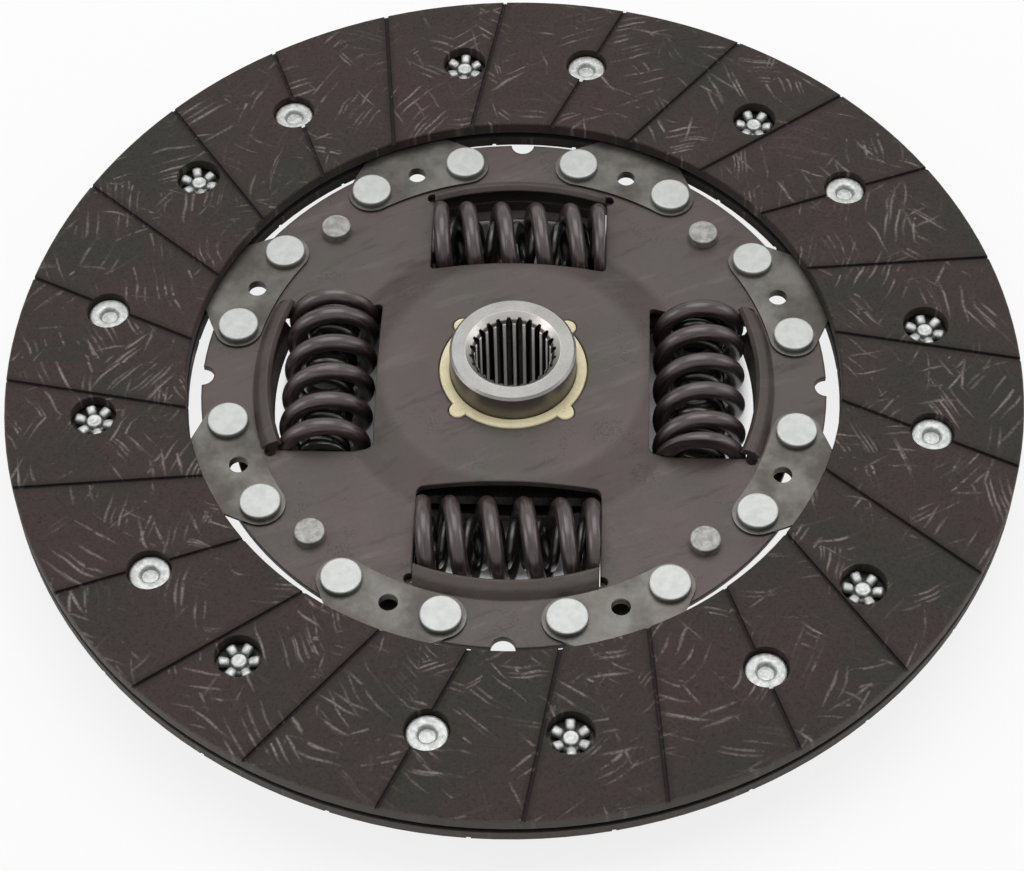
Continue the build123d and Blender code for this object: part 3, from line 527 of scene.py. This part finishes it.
plate_finish, tree, shader, place = new_finish("phosphated_plate", Metallic=0.35)
cloud = use_group(tree, clouds, Vector=place, Size=26.0, Seed=6.0)[0]
wipe = use_group(tree, clouds, Vector=place, Size=12.0, Seed=9.0)[0]
smear = use_group(tree, clouds, Vector=place, Size=9.0, Seed=2.2)[0]
fine = noise(tree, place, 2.2, 5.0, 0.7)
colour = blend_colours(tree, cloud, PLATE_VIOLET, PLATE_GREEN)
colour = blend_colours(tree, wipe, colour, PLATE_PALE, 0.3)
along = add(tree, "ShaderNodeMapping", {"Vector": place, "Rotation": (0, 0, WIPE_TURN), "Scale": WIPE_SIZE},
            vector_type="TEXTURE").outputs[0]
wiped = noise(tree, along, 1.0, 5.0, 0.65)
colour = blend_colours(tree, ramp_value(tree, wiped, 0.54, 0.70, 0.0, 0.55), colour, PLATE_PALE)
colour = blend_colours(tree, ramp_value(tree, wiped, 0.46, 0.30, 0.0, 0.6), colour, PLATE_SMUDGE)
spots = ramp_value(tree, multiply(tree, smear, fine), 0.46, 0.62)
colour = blend_colours(tree, spots, colour, PLATE_SMUDGE, 0.6)
rough = math_node(tree, "MULTIPLY_ADD", wipe, 0.12, uneven(tree, fine, 0.40, 0.52))
connect(tree, shader, fine, 0.18, 0.05 * MM, 0.6 * MM, Base_Color=colour, Roughness=rough)
give(plate_finish, "front_drive_plate", "rear_retainer_plate")


# ---- splined hub ----------------------------------------------------------------------
# Forged steel, turned on its sleeve and face and broached with 24 teeth.  The face and the
# teeth's crests are bright, the chamfer is lighter as a painted highlight, the sleeve is browner
# and darker as painted shade, and the grooves and the flange are darkened as painted shade.

HUB_FACE = (0.235, 0.234, 0.226, 1)
HUB_GRAIN = (0.150, 0.146, 0.138, 1)
HUB_SHADED_SLEEVE = (0.165, 0.150, 0.138, 1)
HUB_CHAMFER_HIGHLIGHT = (0.60, 0.575, 0.55, 1)
HUB_CREST = (0.92, 0.88, 0.83, 1)
HUB_SHADE = (0.040, 0.033, 0.031, 1)
HUB_TOP = 12.3                  # mm
CREST_RADIUS = 9.0              # mm, where the teeth end
MOUTH_RADIUS = 11.35            # mm, where the chamfer meets the face
SHADE_START, SHADE_FULL = 17.0, 22.0        # mm, radii between which the painted shade on the flange between the plates begins

hub_finish, tree, shader, place = new_finish("machined_hub_steel", Metallic=0.9)
part = add(tree, "ShaderNodeSeparateXYZ", {0: place}).outputs
level = add(tree, "ShaderNodeCombineXYZ", {0: part[0], 1: part[1]}).outputs[0]
radius = add(tree, "ShaderNodeVectorMath", {0: level}, operation="LENGTH").outputs[1]
turning = add(tree, "ShaderNodeCombineXYZ", {0: multiply(tree, radius, 5.0), 1: multiply(tree, part[2], 5.0)})
rings = noise(tree, turning.outputs[0], 1.0, 2.0)
fine = noise(tree, place, 2.6, 5.0, 0.65)
stain = use_group(tree, clouds, Vector=place, Size=7.0, Seed=1.0)[0]
at_face = ramp_value(tree, part[2], HUB_TOP - 0.7, HUB_TOP - 0.45)
# The sleeve is browner than the face in its own tone, and darker as painted shade on the side.
colour = blend_colours(tree, at_face, HUB_SHADED_SLEEVE, HUB_FACE)
colour = blend_colours(tree, stain, colour, PLATE_PALE, 0.25)
in_bore = multiply(tree, ramp_value(tree, radius, CREST_RADIUS + 0.02, CREST_RADIUS + 0.3),
                   ramp_value(tree, radius, MOUTH_RADIUS + 0.15, MOUTH_RADIUS - 0.15))
at_chamfer = ramp_value(tree, part[2], HUB_TOP - 1.6, HUB_TOP - 1.2)
# Painted shade in the spline grooves, below the chamfer.
groove_shade = multiply(tree, in_bore, math_node(tree, "SUBTRACT", 1.0, at_chamfer))
colour = blend_colours(tree, groove_shade, colour, HUB_SHADE)
# Painted shade on the flange between the plates.
colour = blend_colours(tree, ramp_value(tree, radius, SHADE_START, SHADE_FULL), colour, HUB_SHADE)
colour = blend_colours(tree, ramp_value(tree, fine, 0.50, 0.66, 0.0, 0.7), colour, HUB_GRAIN)
# Painted highlight: the chamfer is lightened.
chamfer = multiply(tree, at_chamfer, ramp_value(tree, radius, MOUTH_RADIUS, MOUTH_RADIUS - 0.2))
colour = blend_colours(tree, chamfer, colour, HUB_CHAMFER_HIGHLIGHT, 0.6)
crest = ramp_value(tree, radius, CREST_RADIUS + 0.1, CREST_RADIUS)
colour = blend_colours(tree, crest, colour, HUB_CREST)
rough = math_node(tree, "MULTIPLY_ADD", rings, 0.18, 0.26)
height = math_node(tree, "MULTIPLY_ADD", rings, 0.7, multiply(tree, fine, 1.2))
connect(tree, shader, height, 0.45, 0.06 * MM, Base_Color=colour, Roughness=rough,
        Metallic=math_node(tree, "MULTIPLY_ADD", crest, -0.75, 0.9))
give(hub_finish, "splined_hub")


# ---- damper springs -------------------------------------------------------------------
# Four heavy right-handed coils, each with a lighter left-handed one inside, wound from
# dark oiled wire with closed, ground ends.  They stand in the windows between the plates.
# The inner coils' wire is painted near black as shade inside the outer coils.

SPRING_CIRCLE = 44.1            # mm
SPRING_HEIGHT = -3.8
SPRING_HALF = 21.2              # mm, half the length
OUTER_COIL = {"outer": 11.0, "wire": 4.1, "turns": 6.0, "pitch": 8.5, "hand": 1, "columns": 22}
INNER_COIL = {"outer": 6.3, "wire": 2.6, "turns": 9.0, "pitch": 5.2, "hand": -1, "columns": 14}
STEPS_PER_TURN = 48
CLOSING = 1.4                   # turns over which the pitch closes up at each end
CLOCKING = (-0.40, -0.26, -0.57, -0.32)     # turns, where each outer spring's wire is uppermost
INNER_CLOCKING = -0.26
QUARTERS = ((1, 0), (0, 1), (-1, 0), (0, -1))   # cosine and sine of each window's angle
SPRING_BLACK = (0.020, 0.014, 0.014, 1)
SPRING_BROWN = (0.058, 0.039, 0.037, 1)
SPRING_WORN = (0.200, 0.172, 0.162, 1)
# Painted shade: the inner coils' wire is near black, for the shade inside the outer coils.
INNER_SHADE_BLACK = (0.006, 0.005, 0.005, 1)
INNER_SHADE_BROWN = (0.018, 0.013, 0.012, 1)


def coil(clocking, outer, wire, turns, pitch, hand, columns):
    """A round wire carried along a helix about X, its ends ground flat.

    Angle = hand * 2 pi * (turn - clocking) + a quarter turn.  The pitch is constant in the
    middle and falls evenly over the closing turns, and x is held within the ground faces.
    """
    turn = np.linspace(-turns / 2, turns / 2, int(turns * STEPS_PER_TURN) + 1)
    open_turns = turns / 2 - CLOSING
    past = np.maximum(0, np.abs(turn) - open_turns)
    last_pitch = 2 * (SPRING_HALF - pitch * open_turns) / CLOSING - pitch
    along = np.sign(turn) * (np.minimum(np.abs(turn), open_turns) * pitch
                             + pitch * past + (last_pitch - pitch) * past ** 2 / (2 * CLOSING))
    angle = hand * 2 * math.pi * (turn - clocking) + math.pi / 2
    mean = outer - wire / 2
    centre = np.stack([along, mean * np.cos(angle), mean * np.sin(angle)], -1)
    tangent = np.gradient(centre, axis=0)
    tangent /= np.linalg.norm(tangent, axis=1, keepdims=True)
    outward = np.stack([0 * angle, np.cos(angle), np.sin(angle)], -1)
    third = np.cross(tangent, outward)
    round_ = np.arange(columns) * 2 * math.pi / columns
    grid = (centre[:, None] + wire / 2 * (np.cos(round_)[None, :, None] * outward[:, None]
                                          + np.sin(round_)[None, :, None] * third[:, None]))
    grid[..., 0] = np.clip(grid[..., 0], -SPRING_HALF, SPRING_HALF)
    return grid


def in_window(grid, number):
    """Moves a coil from its own axis to a window, a quarter turn further round for each."""
    x, y, z = grid[..., 0], grid[..., 1] + SPRING_CIRCLE, grid[..., 2] + SPRING_HEIGHT
    c, s = QUARTERS[number]
    return np.stack([x * c - y * s, x * s + y * c, z], -1)


def wire_finish(name, dark, brown, worn):
    """Oiled wire: fine marks drawn out along the wire, and rubbed places."""
    finish, tree, shader, place = new_finish(name, Metallic=0.2, Coat_Weight=0.45, Coat_Roughness=0.22)
    uv = add(tree, "ShaderNodeUVMap", uv_map="along_and_round").outputs[0]
    drawn = add(tree, "ShaderNodeVectorMath", {0: uv, 1: (60.0, 26.0, 0.0)}, operation="MULTIPLY").outputs[0]
    marks = noise(tree, drawn, 1.0, 4.0, 0.7)
    rubbed = use_group(tree, clouds, Vector=place, Size=5.0, Seed=3.0)[0]
    colour = blend_colours(tree, ramp_value(tree, marks, 0.35, 0.65), dark, brown)
    wear = multiply(tree, rubbed, ramp_value(tree, marks, 0.52, 0.72))
    colour = blend_colours(tree, wear, colour, worn, 0.5)
    connect(tree, shader, marks, 0.3, 0.05 * MM, Base_Color=colour, Roughness=uneven(tree, marks, 0.30, 0.46))
    return finish


outer_wire = wire_finish("oiled_spring_wire", SPRING_BLACK, SPRING_BROWN, SPRING_WORN)
shaded_inner_wire = wire_finish("oiled_inner_wire_in_shade", INNER_SHADE_BLACK, INNER_SHADE_BROWN, INNER_SHADE_BROWN)
for number, (c, s) in enumerate(QUARTERS):
    middle = tuple(in_window(np.zeros(3), number) * MM)
    for kind, wire, slot, sizes, clocking in (
            ("outer", outer_wire, "spring_steel", OUTER_COIL, CLOCKING[number]),
            ("inner", shaded_inner_wire, "inner_spring_steel", INNER_COIL, INNER_CLOCKING)):
        spring = skin(f"{kind}_coil_{number + 1}", [in_window(coil(clocking, **sizes), number)])
        fit(spring, wire, "springs", slot, f"{kind}_spring_{number + 1}")
        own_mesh(spring)


# ---- friction rings -------------------------------------------------------------------
# Cream nylon rings moulded with four lugs that key into each plate; the front one fills
# the dome and stands up round the hub.  Moulded edges are soft and the surface waxy.

NYLON_CREAM = (0.80, 0.725, 0.48, 1)
NYLON_YELLOW = (0.66, 0.57, 0.33, 1)
NYLON_DIRT = (0.20, 0.16, 0.10, 1)
SLEEVE = 17.4                   # mm, the radii of the ring's parts
BORE = 14.95
LUG_CIRCLE = 17.7
LUG = 2.1
COLLAR = 27.0
LUG_EASE = 6.0                  # per mm, how sharply a lug leaves the sleeve
SLEEVE_TOP, COLLAR_TOP, RING_FOOT = 4.9, 3.0, -1.95     # mm, heights
INNER_EDGE, OUTER_EDGE = 0.4, 0.55      # mm, roundings of the sleeve's top


def lugged_outline(angle):
    """Radius of the sleeve with its four lugs: the soft maximum of the sleeve's and the lug's.

    It is sleeve + ln(1 + exp(ease * (lug - sleeve))) / ease, and away from a lug just the sleeve.
    """
    off = angle % (math.pi / 2) - math.pi / 4
    inside = np.clip(LUG ** 2 - (LUG_CIRCLE * np.sin(off)) ** 2, 0, None)
    lug = np.where(inside > 0, LUG_CIRCLE * np.cos(off) + np.sqrt(inside), SLEEVE - 3)
    return np.log(np.exp((lug - SLEEVE) * LUG_EASE) + 1) / LUG_EASE + SLEEVE


def moulded_ring(columns=720):
    """Bore, rounded rim, lugged sleeve and collar, as one closed section turned about Z."""
    angle = np.arange(columns) * 2 * math.pi / columns
    outline = lugged_outline(angle)
    bend = np.linspace(0, math.pi / 2, 5)
    rows = [(BORE, RING_FOOT)]
    rows += [(BORE + INNER_EDGE * (1 - math.cos(b)), SLEEVE_TOP - INNER_EDGE * (1 - math.sin(b)))
             for b in bend]
    rows += [(outline - OUTER_EDGE * (1 - math.sin(b)), SLEEVE_TOP - OUTER_EDGE * (1 - math.cos(b)))
             for b in bend]
    rows += [(outline, COLLAR_TOP), (COLLAR, COLLAR_TOP), (COLLAR, RING_FOOT)]
    return np.array([np.stack([r * np.cos(angle), r * np.sin(angle), z + 0 * angle], -1) for r, z in rows])


nylon_finish, tree, shader, place = new_finish("cream_nylon", Subsurface_Weight=0.08,
                                               Subsurface_Scale=0.8 * MM)
cloud = use_group(tree, clouds, Vector=place, Size=5.0, Seed=1.0)[0]
fine = noise(tree, place, 2.5, 4.0)
colour = blend_colours(tree, cloud, NYLON_CREAM, NYLON_YELLOW, 0.6)
colour = blend_colours(tree, ramp_value(tree, fine, 0.60, 0.72, 0.0, 0.5), colour, NYLON_DIRT)
connect(tree, shader, fine, 0.2, 0.05 * MM, Base_Color=colour, Roughness=uneven(tree, fine, 0.42, 0.6))
bush = skin("moulded_front_bush", [moulded_ring()], ring=True)
fit(bush, nylon_finish, "disc", "cream_nylon", "front_friction_bush")
give(nylon_finish, "rear_friction_ring")


# ---- washers --------------------------------------------------------------------------
# A flat thrust washer and a conical spring washer of rolled steel press the rear friction
# ring on the hub flange.  They are inside the rear dome and only their edges show.

washer_finish, tree, shader, place = new_finish("rolled_washer_steel", Metallic=0.9)
fine = noise(tree, place, 1.8, 5.0)
connect(tree, shader, fine, 0.2, 0.05 * MM, Base_Color=blend_colours(tree, fine, SEGMENT_DARK, SEGMENT_LIGHT),
        Roughness=uneven(tree, fine, 0.3, 0.5))
give(washer_finish, "thrust_washer", "spring_washer")


# ---- table, light and camera ----------------------------------------------------------
# The disc lies on the tail of its hub on a plain white table, in soft light from a large
# overhead panel and two side panels.  Under the disc's middle the table doesn't glow: a
# painted shadow, moved 10 mm towards the camera, where only the real shade lights the table.

TABLE_HALF = 2.0                # m
TABLE_WHITE = (0.86, 0.86, 0.86, 1)
TABLE_GLOW = 0.82
# Painted shadow: the table's glow is left out round this point, under the disc.
GLOW_MIDDLE = (0.0, 0.010, cad_box[0].z)
GLOW_START, GLOW_FULL = 0.053, 0.058    # m, distances from the middle between which the glow fades in
WHITE = (1, 1, 1, 1)
WORLD_LIGHT = 0.32              # the world's strength for all but the rays that see it
LAMPS = (                       # name, place and width in m, and power in W
    ("overhead", (0.0, 0.25, 0.9), 0.8, 5.6),
    ("left_panel", (-0.8, -0.2, 0.5), 0.5, 2.2),
    ("right_panel", (0.8, 0.1, 0.45), 0.5, 1.6),
)
CAMERA_PLACE = (19.83, -406.86, 546.01)     # mm
CAMERA_LENS, CAMERA_SENSOR = 100.787, 36.0  # mm


def seen_directly(tree):
    """1 for camera, glossy and transmission rays, and 0 for the others."""
    ray = add(tree, "ShaderNodeLightPath").outputs
    sharp = math_node(tree, "MAXIMUM", ray["Is Camera Ray"], ray["Is Glossy Ray"])
    return math_node(tree, "MAXIMUM", sharp, ray["Is Transmission Ray"])


table_corners = [(x * TABLE_HALF, y * TABLE_HALF, cad_box[0].z)
                 for x, y in ((-1, -1), (1, -1), (1, 1), (-1, 1))]
table_mesh = bpy.data.meshes.new("table")
table_mesh.from_pydata(table_corners, [], [(0, 1, 2, 3)])
table = bpy.data.objects.new("table", table_mesh)
bpy.context.scene.collection.objects.link(table)
table_finish, tree, shader, place = new_finish("white_table", Base_Color=TABLE_WHITE, Roughness=0.9)
middle = tuple(side / MM for side in GLOW_MIDDLE)
away = add(tree, "ShaderNodeVectorMath", {0: place, 1: middle}, operation="DISTANCE").outputs[1]
# Painted shadow: no glow in the patch under the disc.
shown = multiply(tree, seen_directly(tree), ramp_value(tree, away, GLOW_START / MM, GLOW_FULL / MM))
glow = add(tree, "ShaderNodeEmission", {"Color": WHITE, "Strength": 1.0})
mixed = add(tree, "ShaderNodeMixShader", {0: multiply(tree, shown, TABLE_GLOW), 1: shader.outputs[0],
                                          2: glow.outputs[0]})
tree.links.new(mixed.outputs[0], tree.nodes["Material Output"].inputs[0])
table_mesh.materials.append(table_finish)

world = bpy.data.worlds.new("studio")
bpy.context.scene.world = world
world.use_nodes = True
tree = world.node_tree
backdrop = tree.nodes["Background"].inputs
feed(tree, backdrop["Strength"],
     math_node(tree, "MULTIPLY_ADD", seen_directly(tree), 1 - WORLD_LIGHT, WORLD_LIGHT))
feed(tree, backdrop["Color"], WHITE)

for name, place, width, power in LAMPS:
    lamp = bpy.data.objects.new(name, bpy.data.lights.new(name, "AREA"))
    lamp.data.size = width
    lamp.data.energy = power
    lamp.location = place
    lamp.rotation_mode = "QUATERNION"
    lamp.rotation_quaternion = (-Vector(place)).to_track_quat("-Z", "Y")
    bpy.context.scene.collection.objects.link(lamp)

camera = bpy.data.objects.new("camera", bpy.data.cameras.new("camera"))
camera.data.sensor_width = CAMERA_SENSOR
camera.data.lens = CAMERA_LENS
camera.data.clip_start, camera.data.clip_end = 0.01, 20
right = Vector((0.99939796, 0.03218651, -0.01295192))
down = Vector((0.01863263, -0.81282799, -0.58220571))
ahead = Vector((-0.02926686, 0.58161387, -0.81293835))
camera.matrix_world = (Matrix.Translation(Vector(CAMERA_PLACE) * MM)
                       @ Matrix((right, -down, -ahead)).transposed().to_4x4())
bpy.context.scene.collection.objects.link(camera)
bpy.context.scene.camera = camera
bpy.context.scene.view_settings.view_transform = "Standard"
